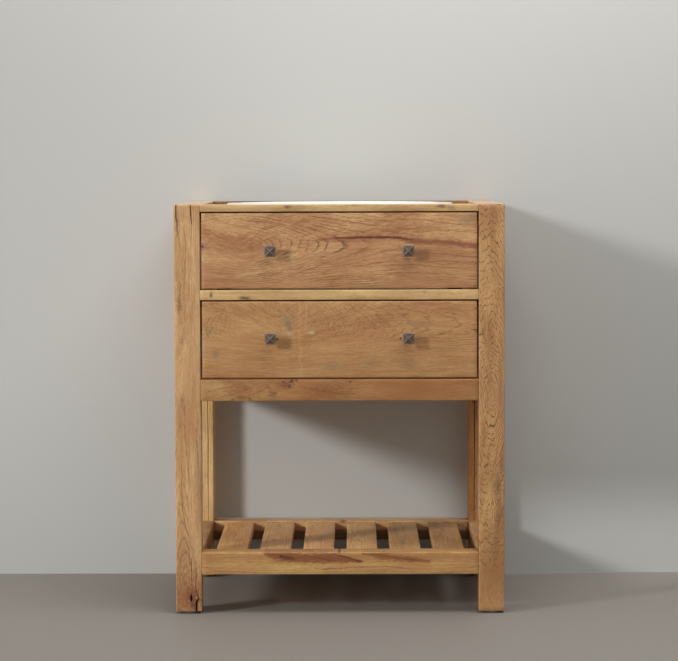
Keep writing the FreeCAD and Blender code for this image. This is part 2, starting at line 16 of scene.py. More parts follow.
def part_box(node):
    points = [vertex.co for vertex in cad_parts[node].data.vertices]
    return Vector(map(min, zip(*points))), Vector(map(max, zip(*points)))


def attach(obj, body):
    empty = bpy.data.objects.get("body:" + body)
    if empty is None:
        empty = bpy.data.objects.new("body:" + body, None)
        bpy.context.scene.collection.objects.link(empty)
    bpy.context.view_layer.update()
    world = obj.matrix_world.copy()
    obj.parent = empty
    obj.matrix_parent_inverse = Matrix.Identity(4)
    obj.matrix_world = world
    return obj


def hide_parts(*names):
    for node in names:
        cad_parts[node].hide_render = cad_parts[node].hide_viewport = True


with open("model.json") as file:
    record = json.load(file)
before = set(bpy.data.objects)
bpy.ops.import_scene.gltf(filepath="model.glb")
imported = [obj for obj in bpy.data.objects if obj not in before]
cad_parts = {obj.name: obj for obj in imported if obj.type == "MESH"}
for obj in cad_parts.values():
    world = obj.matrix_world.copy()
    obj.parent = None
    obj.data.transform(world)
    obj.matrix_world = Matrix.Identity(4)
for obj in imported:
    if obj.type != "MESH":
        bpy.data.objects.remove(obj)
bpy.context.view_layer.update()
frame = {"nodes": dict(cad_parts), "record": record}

MM = 0.001
X, Y, Z = Vector((1, 0, 0)), Vector((0, 1, 0)), Vector((0, 0, 1))
CABINET, DRAWER = "cabinet", "drawer"


def paint(red, green, blue):
    """A colour given in sRGB from 0 to 255, as the linear RGBA that shaders take."""
    def linear(value):
        value /= 255
        return value / 12.92 if value <= 0.04045 else ((value + 0.055) / 1.055) ** 2.4
    return (linear(red), linear(green), linear(blue), 1.0)


# ---- Shader graphs ----
class Graph:
    """A material's nodes, built by short calls that take sockets or plain numbers."""

    def __init__(self, name):
        self.material = bpy.data.materials.new(name)
        self.material.use_nodes = True
        self.tree = self.material.node_tree
        self.shader = self.tree.nodes["Principled BSDF"]

    def node(self, kind, **settings):
        made = self.tree.nodes.new(kind)
        for key, value in settings.items():
            setattr(made, key, value)
        return made

    def feed(self, socket, value):
        if isinstance(value, bpy.types.NodeSocket):
            self.tree.links.new(value, socket)
        else:
            socket.default_value = value

    def math(self, operation, a, b=0.0, c=0.0, clamp=False):
        made = self.node("ShaderNodeMath", operation=operation, use_clamp=clamp)
        for socket, value in zip(made.inputs, (a, b, c)):
            self.feed(socket, value)
        return made.outputs[0]

    def add(self, a, b):
        return self.math("ADD", a, b)

    def mul(self, a, b):
        return self.math("MULTIPLY", a, b)

    def scale_add(self, value, factor, offset, clamp=False):
        """A value times a factor, plus an offset."""
        return self.math("MULTIPLY_ADD", value, factor, offset, clamp)

    def vector(self, operation, *values):
        made = self.node("ShaderNodeVectorMath", operation=operation)
        for socket, value in zip(made.inputs, values):
            self.feed(socket, value)
        return made.outputs["Value"] if operation in ("LENGTH", "DOT_PRODUCT") else made.outputs[0]

    def length(self, x, y, z=0.0):
        return self.vector("LENGTH", self.combine(x, y, z))

    def combine(self, x, y, z):
        made = self.node("ShaderNodeCombineXYZ")
        for socket, value in zip(made.inputs, (x, y, z)):
            self.feed(socket, value)
        return made.outputs[0]

    def place(self):
        """The place in the piece's own coordinates, in metres."""
        return self.node("ShaderNodeTexCoord").outputs["Object"]

    def attribute(self, name):
        return self.node("ShaderNodeAttribute", attribute_name=name).outputs["Fac"]

    def cloud(self, sizes, detail, roughness=0.5):
        """Noise with this many waves to the metre along x, y and z."""
        return self.noise(self.vector("MULTIPLY", self.place(), sizes), detail, roughness)

    def chance(self, value):
        """A fixed random number from 0 to 1 for each value."""
        made = self.node("ShaderNodeTexWhiteNoise", noise_dimensions="1D")
        self.feed(made.inputs["W"], value)
        return made.outputs["Value"]

    def noise(self, place, detail=2.0, roughness=0.5):
        made = self.node("ShaderNodeTexNoise")
        self.feed(made.inputs["Vector"], place)
        made.inputs["Scale"].default_value = 1.0
        made.inputs["Detail"].default_value = detail
        made.inputs["Roughness"].default_value = roughness
        return made.outputs[0]

    def ramp(self, value, low, high, out_low=0.0, out_high=1.0):
        """Smooth step of a value from low to high, which may run downwards."""
        made = self.node("ShaderNodeMapRange", interpolation_type="SMOOTHSTEP")
        self.feed(made.inputs["Value"], value)
        if low > high:
            low, high, out_low, out_high = high, low, out_high, out_low
        for key, number in (("From Min", low), ("From Max", high), ("To Min", out_low), ("To Max", out_high)):
            made.inputs[key].default_value = number
        return made.outputs["Result"]

    def blend(self, factor, a, b, mode="MIX"):
        made = self.node("ShaderNodeMix", data_type="RGBA", blend_type=mode, clamp_factor=True)
        self.feed(made.inputs[0], factor)
        self.feed(made.inputs[6], a)
        self.feed(made.inputs[7], b)
        return made.outputs[2]

    def bump(self, height):
        """Surface relief: height is in millimetres."""
        made = self.node("ShaderNodeBump")
        made.inputs["Strength"].default_value = 1.0
        made.inputs["Distance"].default_value = MM
        self.feed(made.inputs["Height"], height)
        self.tree.links.new(made.outputs[0], self.shader.inputs["Normal"])

    def finish(self, color, roughness, **constants):
        self.feed(self.shader.inputs["Base Color"], color)
        self.feed(self.shader.inputs["Roughness"], roughness)
        for key, value in constants.items():
            self.shader.inputs[key.replace("_", " ")].default_value = value
        return self.material


# ---- Boards ----
class Board:
    """A straight board: its corners in metres, the way its grain runs and the way its show face looks."""

    def __init__(self, low, high, along, out):
        self.along, self.out = along, out
        self.across = along.cross(out)
        self.centre = (low + high) / 2
        size = high - low
        self.length = abs(size.dot(along)) / MM
        self.width = abs(size.dot(self.across)) / MM
        self.thickness = abs(size.dot(out)) / MM

    def coordinates(self, graph):
        """The place in the board in millimetres: l along it, w across it and t out through its show face."""
        local = graph.vector("SUBTRACT", graph.place(), tuple(self.centre))
        axes = (self.along, self.across, self.out)
        return [graph.vector("DOT_PRODUCT", local, tuple(axis / MM)) for axis in axes]


# How a board looks unless its maker says otherwise. Colours are sRGB, places and sizes are in millimetres.
OAK = {
    "light": (208, 168, 120), "dark": (164, 114, 70),  # its palest and its darkest wood
    "fibre": 0.8, "streak": 0.7, "blotch": 0.5,  # how strongly fine, long and broad changes of tone show
    "warm": (176, 118, 80), "hue": 0.4,  # a redder tint in clouds, and how strong it is
    "ring": (126, 84, 50), "rings": 0.5,  # the porous band of each year, and how strong it is
    "spacing": 3.6, "thin": 0.34,  # the width of a year, and the band's share of it
    "eye": (0, 0), "depth": 40,  # where the tree's heart comes nearest the face, and how deep it lies there
    "rise": (0, 100),  # how much deeper it lies away from the eye, and over what length
    "slope": 0.0, "lean": 0.0,  # how far the rings turn along the board, and lean across it
    "skew": (1, 1),  # how closely they are packed on each side of the eye
    "sway": 3.0, "ripple": 1.2,  # long and short waves of the rings
    "calm": (),  # places with faint rings: (centre, size, share that is left)
    "pore": (84, 54, 32), "pores": 0.5,  # the colour of pores, seams and ticks, and how strong pores are
    "dash": 0.3, "breaks": (0.4, 0.62),  # strength of the ticks of broken rings, and where they set in
    "knots": (),  # (centre, size, how far the rings bend round it, reach of its dark core)
    "marks": (), "strokes": (),  # stains (centre, size, colour, strength) and lines (path, colour, strength)
    "planks": 1, "seed": 0,  # strips the board is glued up from, and the place in the noise
    "wear": 0.3, "rough": 0.62, "coat": 0.15,  # rubbed edges, roughness and the oil's shine
}
# Painted shade at the bottom of cracks and holes.
PAINTED_CRACK_SHADE = (30, 18, 12)
KNOT_CORE = (72, 40, 24)


def scaled(graph, place, sizes, seed):
    """The board's coordinates divided by feature sizes, moved to a part of the noise of their own."""
    shift = tuple((seed * step) % 91.0 for step in (7.31, 13.7, 29.3))
    return graph.vector("MULTIPLY_ADD", place, tuple(1 / size for size in sizes), shift)


def spot(graph, l, w, centre, size, below=0.0):
    """Distance from a spot's centre in units of its size; below is the depth in the same units."""
    dl = graph.mul(graph.add(l, -centre[0]), 1 / size[0])
    dw = graph.mul(graph.add(w, -centre[1]), 1 / size[1])
    return graph.length(dl, dw, below)


def stroke(graph, l, w, path):
    """Distance from a path of points (l, w, width) in units of its local width."""
    nearest = None
    for (l0, w0, width0), (l1, w1, width1) in zip(path, path[1:]):
        run_l, run_w = l1 - l0, w1 - w0
        square = run_l ** 2 + run_w ** 2
        share = graph.scale_add(w, run_w / square, -(l0 * run_l + w0 * run_w) / square)
        share = graph.scale_add(l, run_l / square, share, clamp=True)
        dl = graph.scale_add(share, -run_l, graph.add(l, -l0))
        dw = graph.scale_add(share, -run_w, graph.add(w, -w0))
        gap = graph.math("DIVIDE", graph.length(dl, dw), graph.scale_add(share, width1 - width0, width0))
        nearest = gap if nearest is None else graph.math("MINIMUM", nearest, gap)
    return nearest


def growth_rings(graph, look, board, l, w, t, place):
    """Distance from the tree's heart, which bends round an eye in the figure, knots and small waves."""
    dl = graph.math("ABSOLUTE", graph.add(l, -look["eye"][0]))
    dw = graph.scale_add(l, -look["slope"], graph.add(w, -look["eye"][1]))
    above = graph.mul(graph.math("MINIMUM", dw, 0.0), look["skew"][0])
    dw = graph.scale_add(graph.math("MAXIMUM", dw, 0.0), look["skew"][1], above)
    height, reach = look["rise"]
    fall = graph.math("EXPONENT", graph.mul(dl, -1 / reach))
    climb = graph.scale_add(fall, -height, height + look["depth"] + board.thickness * 0.25)
    climb = graph.scale_add(t, -0.5, climb)
    radius = graph.scale_add(w, look["lean"], graph.length(dw, climb))
    waves = (
        ((190, 46, 46), look["sway"]), ((42, 13, 13), look["ripple"]), ((13, 4.5, 4.5), look["ripple"] * 0.4))
    for number, (sizes, depth) in enumerate(waves):
        wave = graph.noise(scaled(graph, place, sizes, look["seed"] + number), 1.0)
        radius = graph.scale_add(graph.add(wave, -0.5), 3 * depth, radius)
    for centre, size, bend, _ in look["knots"]:
        away = spot(graph, l, w, centre, size)
        lift = graph.math("EXPONENT", graph.mul(graph.mul(away, away), -1.0))
        radius = graph.scale_add(lift, bend, radius)
    return radius


def year_bands(graph, look, radius):
    """The porous band of each year, and how vivid that year is."""
    slow = graph.mul(radius, 0.25 / look["spacing"])
    uneven = graph.noise(graph.combine(slow, look["seed"] * 3.7, 0.0), 1.0)
    turns = graph.scale_add(uneven, 2.4, graph.mul(radius, 1 / look["spacing"]))
    phase = graph.math("FRACT", turns)
    fading, rising = graph.ramp(phase, look["thin"], 0.0), graph.ramp(phase, 1 - look["thin"] * 0.3, 1.0)
    vivid = graph.scale_add(graph.chance(graph.math("FLOOR", turns)), 0.75, 0.25)
    return graph.math("MAXIMUM", fading, rising), vivid


def tones(graph, look, place, broad, streaky, fibres):
    """The wood's colour before its rings: light to dark along the fibres, with a warm tint in clouds."""
    tone = graph.mul(graph.add(broad, -0.5), look["blotch"] * 3.0)
    tone = graph.scale_add(graph.add(streaky, -0.5), look["streak"] * 2.0, tone)
    tone = graph.scale_add(graph.add(fibres, -0.5), look["fibre"] * 2.2, tone)
    color = graph.blend(graph.math("ADD", tone, 0.5, clamp=True), paint(*look["light"]), paint(*look["dark"]))
    tint = graph.noise(scaled(graph, place, (110, 60, 60), look["seed"] + 15), 2.0)
    return graph.blend(graph.ramp(tint, 0.38, 0.68, 0.0, look["hue"]), color, paint(*look["warm"]))


def stains(graph, look, board, color, spots, place, streaky):
    """Stains and single grain lines with ragged edges, and the dark cores of the knots."""
    l, w, t = spots
    seed = look["seed"]
    ragged = graph.mul(graph.add(graph.noise(scaled(graph, place, (9, 3, 3), seed + 4), 3.0, 0.6), -0.5), 2.0)
    ragged = graph.scale_add(graph.add(streaky, -0.5), 1.2, ragged)
    depth = graph.add(graph.mul(t, -1.0), board.thickness / 2)
    for centre, size, colour, strength in look["marks"]:
        below = graph.mul(depth, 0.6 / max(size))
        away = graph.add(spot(graph, l, w, centre, size, below), ragged)
        color = graph.blend(graph.ramp(away, 1.3, 0.0, 0.0, strength), color, paint(*colour))
    drift = graph.add(graph.noise(scaled(graph, place, (26, 12, 12), seed + 12), 2.0), -0.5)
    drift_l = graph.scale_add(drift, 18.0, l)
    drift_w = graph.scale_add(drift, 6.0, w)
    for path, colour, strength in look["strokes"]:
        away = graph.add(stroke(graph, drift_l, drift_w, path), graph.mul(ragged, 0.8))
        color = graph.blend(graph.ramp(away, 1.3, 0.3, 0.0, strength), color, paint(*colour))
    for centre, size, _, core in look["knots"]:
        if core:
            away = graph.add(spot(graph, l, w, centre, size), graph.mul(ragged, core * 0.5))
            color = graph.blend(graph.ramp(away, core, core * 0.4, 0.0, 0.85), color, paint(*KNOT_CORE))
    return color


def seams(graph, look, color, plank, plank_w, row):
    """A thin dark line where planks are glued together, and each plank in a tone of its own."""
    seam = graph.ramp(graph.math("ABSOLUTE", plank_w), plank / 2 - 0.5, plank / 2 - 0.1)
    color = graph.blend(graph.mul(seam, 0.55), color, paint(*look["pore"]))
    shade = graph.chance(graph.add(row, look["seed"] + 0.5))
    return graph.blend(graph.mul(shade, 0.35), color, paint(*look["dark"]))


def worn(graph, look, board, color, w, t, clumps):
    """Rubbed pale along the edges in places, and painted shade that darkens down the cracks with their depth.
    """
    side = graph.add(graph.mul(graph.math("ABSOLUTE", w), -1.0), board.width / 2)
    face = graph.add(graph.mul(graph.math("ABSOLUTE", t), -1.0), board.thickness / 2)
    rim = graph.ramp(graph.math("MAXIMUM", side, face), 3.2, 0.3)
    rubbed = graph.mul(rim, graph.ramp(clumps, 0.3, 0.7, 0.0, look["wear"]))
    color = graph.blend(rubbed, color, paint(*[min(255, v * 1.1) for v in look["light"]]))
    # Painted shade: the colour darkens towards the bottom of each crack, by how deep the point lies.
    return graph.blend(graph.ramp(graph.attribute("pit"), 0.05, 0.7), color, paint(*PAINTED_CRACK_SHADE))


def oak(name, board, **changes):
    """Oiled old oak: growth rings bent round an eye and knots, pores, streaky fibres, stains, worn edges."""
    look = {**OAK, **changes}
    graph = Graph(name)
    seed = look["seed"]
    l, w, t = board.coordinates(graph)
    place = graph.combine(l, w, t)
    grain_l, grain_w = l, w
    if look["planks"] > 1:
        plank = board.width / look["planks"]
        row = graph.math("FLOOR", graph.mul(graph.add(w, board.width / 2), 1 / plank))
        grain_w = graph.add(graph.add(w, board.width / 2 - plank / 2), graph.mul(row, -plank))
        grain_l = graph.scale_add(row, 411.0, l)
        place = graph.combine(grain_l, w, t)

    radius = growth_rings(graph, look, board, l, grain_w, t, place)
    follow = graph.scale_add(w, 0.6, graph.mul(radius, 0.45))
    grain = graph.combine(grain_l, follow, graph.mul(t, 0.4))
    porous, vivid = year_bands(graph, look, radius)
    broad = graph.noise(scaled(graph, place, (150, 44, 44), seed + 5), 2.0)
    streaky = graph.noise(scaled(graph, grain, (70, 3.4, 9), seed + 6), 3.0, 0.6)
    fibres = graph.noise(scaled(graph, grain, (16, 1.15, 4), seed + 7), 2.0, 0.7)
    color = tones(graph, look, place, broad, streaky, fibres)

    loud = 1.0
    for centre, size, keep in look["calm"]:
        loud = graph.mul(graph.ramp(spot(graph, l, w, centre, size), 0.4, 1.6, keep, 1.0), loud)
    clumps = graph.noise(scaled(graph, place, (64, 16, 16), seed + 8), 2.0)
    strong = graph.ramp(clumps, 0.32, 0.68, 0.2 * look["rings"], look["rings"])
    ring_mask = graph.mul(graph.mul(graph.mul(porous, vivid), strong), loud)
    color = graph.blend(ring_mask, color, paint(*look["ring"]))
    pores = graph.ramp(graph.noise(scaled(graph, grain, (7, 0.75, 2), seed + 9), 1.0), 0.56, 0.66)
    pore_mask = graph.mul(pores, graph.scale_add(porous, 0.75, 0.2))
    color = graph.blend(graph.mul(pore_mask, look["pores"]), color, paint(*look["pore"]))
    gaps = graph.ramp(graph.noise(scaled(graph, place, (8, 5, 5), seed + 10), 2.0, 0.6), 0.42, 0.56)
    dashes = graph.mul(graph.mul(gaps, graph.ramp(porous, 0.5, 1.0)), graph.ramp(clumps, *look["breaks"]))
    dashes = graph.mul(dashes, loud)
    color = graph.blend(graph.mul(dashes, look["dash"]), color, paint(*look["pore"]))

    color = stains(graph, look, board, color, (l, w, t), place, streaky)
    if look["planks"] > 1:
        color = seams(graph, look, color, plank, grain_w, row)
    color = worn(graph, look, board, color, w, t, clumps)

    relief = graph.scale_add(pore_mask, -0.1, graph.mul(dashes, -0.1))
    graph.bump(graph.scale_add(graph.add(streaky, -0.5), 0.05, relief))
    roughness = graph.scale_add(pore_mask, 0.2, look["rough"])
    roughness = graph.scale_add(graph.add(broad, -0.5), 0.2, roughness)
    return graph.finish(
        color, roughness, Specular_IOR_Level=0.35, Coat_Weight=look["coat"], Coat_Roughness=0.2)


CLOSEST = 0.12  # stations nearer to each other than this are merged, in millimetres
ARC_STEPS = 3
UNEVEN = 0.18  # how far the faces of an old board fall back in places, in millimetres


def spread(low, high, coarse, fine_zones=()):
    """Stations from low to high at a coarse spacing, closer inside each zone (centre, reach, spacing)."""
    marks = set(np.linspace(low, high, max(2, round((high - low) / coarse) + 1)).round(4))
    for centre, reach, spacing in fine_zones:
        start, end = max(low, centre - reach), min(high, centre + reach)
        if end > start:
            marks.update(np.linspace(start, end, max(2, round((end - start) / spacing) + 1)).round(4))
    kept = []
    for mark in sorted(marks):
        if not kept or mark - kept[-1] > CLOSEST:
            kept.append(float(mark))
    return kept


def outline(half_w, half_t, radius, columns):
    """The board's section, from the show face round: (w, t, normal w, normal t, 1 on a rounded corner)."""
    points = []
    inner_w, inner_t = half_w - radius, half_t - radius
    sides = (
        ((0, 1), [(c, half_t) for c in columns]),
        ((1, 0), [(half_w, c) for c in spread(-inner_t, inner_t, 12.0)[::-1]]),
        ((0, -1), [(c, -half_t) for c in spread(-inner_w, inner_w, 12.0)[::-1]]),
        ((-1, 0), [(-half_w, c) for c in spread(-inner_t, inner_t, 12.0)]),
    )
    arcs = (
        (inner_w, inner_t, 90), (inner_w, -inner_t, 0), (-inner_w, -inner_t, -90), (-inner_w, inner_t, -180))
    for (normal, side), (corner_w, corner_t, start) in zip(sides, arcs):
        points += [(w, t, *normal, 0) for w, t in side]
        for step in range(1, ARC_STEPS + 1):
            angle = math.radians(start - 90 / (ARC_STEPS + 1) * step)
            normal_w, normal_t = math.cos(angle), math.sin(angle)
            points.append((corner_w + radius * normal_w, corner_t + radius * normal_t, normal_w, normal_t, 1))
    return np.array(points)


def crack(path, width, depth, rows=3.0):
    """A crack in a show face: its path (l, w, share of its width), and how far apart the mesh's rows are."""
    return {"path": path, "width": width, "depth": depth, "rows": rows}


def crack_depth(l, w, split):
    """How far each point of the show face lies down a crack, as a share of its depth."""
    path, width = split["path"], split["width"]
    best = np.full(len(l), 1e9)
    for (l0, w0, s0), (l1, w1, s1) in zip(path, path[1:]):
        run = np.array((l1 - l0, w1 - w0), float)
        share = np.clip(((l - l0) * run[0] + (w - w0) * run[1]) / max(run @ run, 1e-9), 0, 1)
        gap = np.hypot(l - l0 - share * run[0], w - w0 - share * run[1])
        local = width * (s0 + (s1 - s0) * share)
        best = np.minimum(best, gap / np.maximum(local, 1e-3))
    return np.clip(1.25 - best, 0, 1) ** 0.7


def closed_mesh(name, places, faces, attribute, values, sharp_angle):
    """A smooth-shaded mesh that carries one number at each point for its material."""
    mesh = bpy.data.meshes.new(name)
    mesh.from_pydata(places, [], faces)
    mesh.attributes.new(attribute, "FLOAT", "POINT").data.foreach_set("value", values)
    shape = bmesh.new()
    shape.from_mesh(mesh)
    bmesh.ops.recalc_face_normals(shape, faces=shape.faces)
    bmesh.ops.triangulate(shape, faces=[face for face in shape.faces if len(face.verts) > 4])
    shape.to_mesh(mesh)
    shape.free()
    mesh.shade_smooth()
    mesh.set_sharp_from_angle(angle=math.radians(sharp_angle))
    return mesh


def crack_zones(cracks):
    """Where a board's mesh is finer, across it and along it, so that its cracks have clean edges."""
    zones_w, zones_l = [], []
    for split in cracks:
        path = split["path"]
        for (l0, w0, _), (l1, w1, _) in zip(path, path[1:]):
            reach_w = abs(w1 - w0) / 2 + split["width"] * 1.6
            zones_w.append(((w0 + w1) / 2, reach_w, max(0.3, split["width"] * 0.3)))
            zones_l.append(((l0 + l1) / 2, abs(l1 - l0) / 2 + 2.0, split["rows"]))
    return zones_w, zones_l


def board_mesh(name, board, radius, cracks, seed):
    """The board's mesh: worn round its long edges, very slightly uneven, with its cracks and holes cut in."""
    half_w, half_t, half_l = board.width / 2, board.thickness / 2, board.length / 2
    radius = min(radius, half_t * 0.8)
    zones_w, zones_l = crack_zones(cracks)
    columns = spread(-half_w + radius, half_w - radius, 7.0, zones_w)
    ring = outline(half_w, half_t, radius, columns)
    chamfer = min(1.0, radius * 0.6)
    rows = spread(-half_l + chamfer, half_l - chamfer, 9.0, zones_l)
    count = len(ring)
    l = np.repeat(np.array(rows), count)
    w, t, normal_w, normal_t, is_corner = (np.tile(column, len(rows)) for column in ring.T)
    pit = np.zeros(len(l))
    worn = np.array([noise.noise(Vector((a / 38, b / 9 + seed * 3.1, c / 9))) for a, b, c in zip(l, w, t)])
    swell = np.array([noise.noise(Vector((a / 85, b / 30, c / 30 + seed * 1.7))) for a, b, c in zip(l, w, t)])
    pull = UNEVEN * (0.5 + 0.5 * swell) + is_corner * radius * 0.3 * np.clip(worn + 0.1, 0, 1)
    w_moved, t_moved = w - normal_w * pull, t - normal_t * pull
    on_face = (normal_t > 0.3) & (t > 0)
    for split in cracks:
        share = np.where(on_face, crack_depth(l, w, split), 0.0)
        t_moved = t_moved - share * split["depth"]
        pit = np.maximum(pit, share)
    caps = []
    for end, row in ((-1, 0), (1, len(rows) - 1)):
        part = slice(row * count, (row + 1) * count)
        inset_w = w_moved[part] * (1 - chamfer / half_w)
        inset_t = t_moved[part] * (1 - chamfer / half_t)
        caps.append((np.full(count, end * half_l), inset_w, inset_t, pit[part]))
    l = np.concatenate([caps[0][0], l, caps[1][0]])
    w_all = np.concatenate([caps[0][1], w_moved, caps[1][1]])
    t_all = np.concatenate([caps[0][2], t_moved, caps[1][2]])
    pit = np.concatenate([caps[0][3], pit, caps[1][3]])
    axes = np.array([board.along, board.across, board.out])
    places = np.array(board.centre) + MM * (np.stack([l, w_all, t_all], axis=1) @ axes)
    faces = []
    last = (len(rows) + 1) * count
    for start in range(0, last, count):
        for i in range(count):
            j = (i + 1) % count
            faces.append((start + i, start + j, start + count + j, start + count + i))
    faces.append(tuple(range(count))[::-1])
    faces.append(tuple(range(last, last + count)))
    return closed_mesh(name, places.tolist(), faces, "pit", pit, sharp_angle=50)


def add_piece(name, mesh, material, body, node):
    """Put a finished mesh into the scene in place of a CAD node."""
    mesh.materials.append(material)
    piece = bpy.data.objects.new(name, mesh)
    bpy.context.scene.collection.objects.link(piece)
    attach(piece, body)
    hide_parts(node)
    return piece


SLOTS = {part["node"]: part["material_slot"] for part in frame["record"]["subparts"]}


def corners(node):
    low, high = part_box(node)
    return Vector(low), Vector(high)


LEG_LEFT = corners("leg_front_left")
LEG_RIGHT = corners("leg_front_right")
LEG_REAR = corners("leg_rear_right")


def between(node, along):
    """The corners of the part of a node that shows between the legs, without its tenons."""
    low, high = corners(node)
    if along == X:
        low.x, high.x = LEG_LEFT[1].x, LEG_RIGHT[0].x
    elif along == Y:
        low.y, high.y = LEG_RIGHT[1].y, LEG_REAR[0].y
    return low, high


def make_board(node, along, out, body=CABINET, limits=None, radius=1.5, cracks=(), **look):
    """One oak board in place of a CAD node."""
    low, high = limits or between(node, along)
    board = Board(low, high, along, out)
    mesh = board_mesh(f"{node}_board", board, radius, cracks, look["seed"])
    return add_piece(f"{node}_board", mesh, oak(f"{node}_oak", board, **look), body, node)


# ---- The visible boards ----
THIN_END = 0.8


def line(start, middle, end, colour, strength, width=1.4):
    """A stroke for one grain line: its half width at the middle is given, and it is thin at both ends."""
    return ((*start, THIN_END), (*middle, width), (*end, THIN_END)), colour, strength


def front_legs():
    """The left leg has ovals above a knot hole and splits at both ends, the right one wild broken grain."""
    make_board(
        "leg_front_left", Z, -Y, seed=3, coat=0.9, radius=2.0,
        light=(224, 180, 126), dark=(184, 133, 84), warm=(182, 128, 84), eye=(-365, -2), rise=(30, 110),
        depth=2, slope=0.004, lean=0.35, spacing=3.0, sway=2.2, ripple=0.9, rings=0.5, dash=0.35, blotch=0.7,
        breaks=(0.46, 0.66), calm=(((-350, -6), (40, 14), 0.4),),
        knots=(((-396, 5), (18, 9), 8.0, 0.3),),
        marks=(
            ((-395, 0), (70, 60), (138, 80, 38), 0.9), ((-320, -3), (90, 30), (158, 104, 62), 0.5),
            ((-393, 8), (22, 13), (112, 60, 34), 0.6), ((-412, 10), (10, 7), (110, 50, 30), 0.8),
            ((392, -20), (42, 6), (124, 84, 54), 0.5), ((405, -8), (22, 9), (176, 120, 82), 0.5),
            ((-130, 20), (120, 10), (138, 90, 56), 0.35),
        ),
        strokes=(
            (((380, -6, 0.6), (335, -2, 1.2), (255, -6, 0.9), (225, -1, 0.6)), (136, 92, 58), 0.5),
            (((-100, -13, 0.7), (-180, -14, 1.4), (-240, -7, 1.0), (-287, 6, 0.9), (-320, 14, 0.7)),
             (120, 76, 46), 0.55),
            (((-326, 5, 0.7), (-287, 0, 1.3), (-269, -8, 1.4), (-277, -15, 1.2), (-308, -22, 0.7)),
             (126, 80, 50), 0.6),
            (((-329, 3, 0.7), (-308, 1, 1.1), (-297, -5, 1.3), (-305, -14, 1.1), (-329, -19, 0.7)),
             (120, 72, 44), 0.6),
            (((-345, 1, 0.6), (-322, -5, 1.1), (-345, -13, 0.6)), (120, 72, 44), 0.4),
            (((-60, 2, 0.7), (-130, 2, 1.2), (-190, 0, 0.8)), (128, 82, 50), 0.45),
            (((-40, 16, 0.7), (-110, 21, 1.6), (-150, 22, 0.8)), (112, 74, 44), 0.5),
            (((-381, 14.6, 0.8), (-392, 17, 1.7), (-398, 20, 2.0), (-405, 15.7, 2.0)), (50, 26, 16), 0.85),
            (((-398, 20, 1.4), (-402, 27, 1.0)), (56, 28, 16), 0.7),
            (((-378, -1, 0.8), (-395, 0, 1.3), (-406, 5, 1.7), (-407, 12, 1.7)), (106, 56, 32), 0.6),
            (((-344, 6, 0.7), (-375, 6, 1.1), (-388, 5, 0.8)), (112, 60, 36), 0.5),
            (((424, 8, 1.0), (380, 10, 1.4), (345, 9, 0.8)), (122, 84, 54), 0.5),
            (((424, -22, 1.2), (375, -20, 1.8), (330, -12, 0.8)), (118, 82, 54), 0.5),
        ),
        cracks=(
            crack(((424, -22, 1.0), (398, -22, 1.0), (382, -19, 0.25)), 0.7, 2.5),
            crack(((424, 8, 0.9), (402, 9, 1.0), (384, 11, 0.4)), 0.8, 3.0),
            crack(((-390, 5, 0.5), (-396, 5, 1.0), (-402, 5.4, 0.6)), 2.4, 6.0, rows=1.5),
            crack(((-424, 15.5, 1.0), (-405, 15.7, 1.0), (-399, 19, 0.4)), 1.9, 5.0, rows=1.5),
            crack(((-313, 6, 0.2), (-335, 6, 1.0), (-360, 6.5, 0.2)), 0.6, 1.5),
            crack(((-328, 15.5, 0.2), (-350, 15, 1.0), (-382, 15, 0.6)), 0.6, 1.5),
        ))
    make_board(
        "leg_front_right", Z, -Y, seed=11, coat=0.9, radius=2.0,
        light=(210, 161, 104), dark=(167, 115, 66), warm=(168, 116, 72), eye=(20, 3), rise=(260, 1000),
        depth=6, lean=0.12, spacing=2.9, sway=3.4, ripple=2.4, rings=0.6, dash=0.95, blotch=0.8,
        breaks=(0.26, 0.42), pore=(86, 60, 36), calm=(((-395, 0), (56, 60), 0.1), ((30, 3), (24, 14), 0.3)),
        knots=(
            ((143, -13), (26, 9), 9.0, 0), ((-170, 11), (38, 13), 13.0, 0), ((-235, 12), (30, 12), -11.0, 0)),
        marks=(
            ((-350, 0), (100, 40), (160, 110, 62), 0.55),
            ((-165, 12), (40, 9), (112, 82, 50), 0.6), ((-225, 14), (36, 8), (112, 82, 50), 0.55),
            ((-290, 8), (40, 9), (116, 84, 50), 0.5), ((-350, 0), (60, 30), (150, 98, 52), 0.4),
            ((-120, 20), (30, 5), (112, 82, 50), 0.5), ((60, 18), (60, 5), (140, 100, 62), 0.5),
        ),
        strokes=(
            (((-140, 25, 1.5), (-158, 17, 2.6), (-172, 9, 1.6), (-176, -2, 0.8)), (98, 72, 42), 0.4),
            (((-205, 25, 1.2), (-228, 17, 2.4), (-250, 11, 1.0)), (98, 72, 42), 0.4),
        ))


def rear_legs():
    """The rear legs; the left one is painted paler, a painted highlight for the light that reaches it."""
    # Painted highlight: the left rear leg's colours are paler than the right one's, standing in for the key
    # light falling on it.
    make_board(
        "leg_rear_left", Z, -Y, seed=21, radius=2.0, light=(250, 208, 145), dark=(216, 168, 107), rings=0.3,
        lean=0.4,
        cracks=(crack(((20, 14, 0.3), (-120, 15, 1.0), (-330, 14, 0.4)), 0.8, 1.5),))
    make_board(
        "leg_rear_right", Z, -Y, seed=27, radius=2.0, light=(212, 154, 90), dark=(166, 110, 58), lean=0.4,
        marks=(((60, -16), (9, 4), (84, 50, 28), 0.6), ((-30, -14), (9, 4), (84, 50, 28), 0.6)),
        cracks=(crack(((120, -14, 0.3), (-60, -13, 1.0), (-330, -14, 0.4)), 0.9, 1.5),))


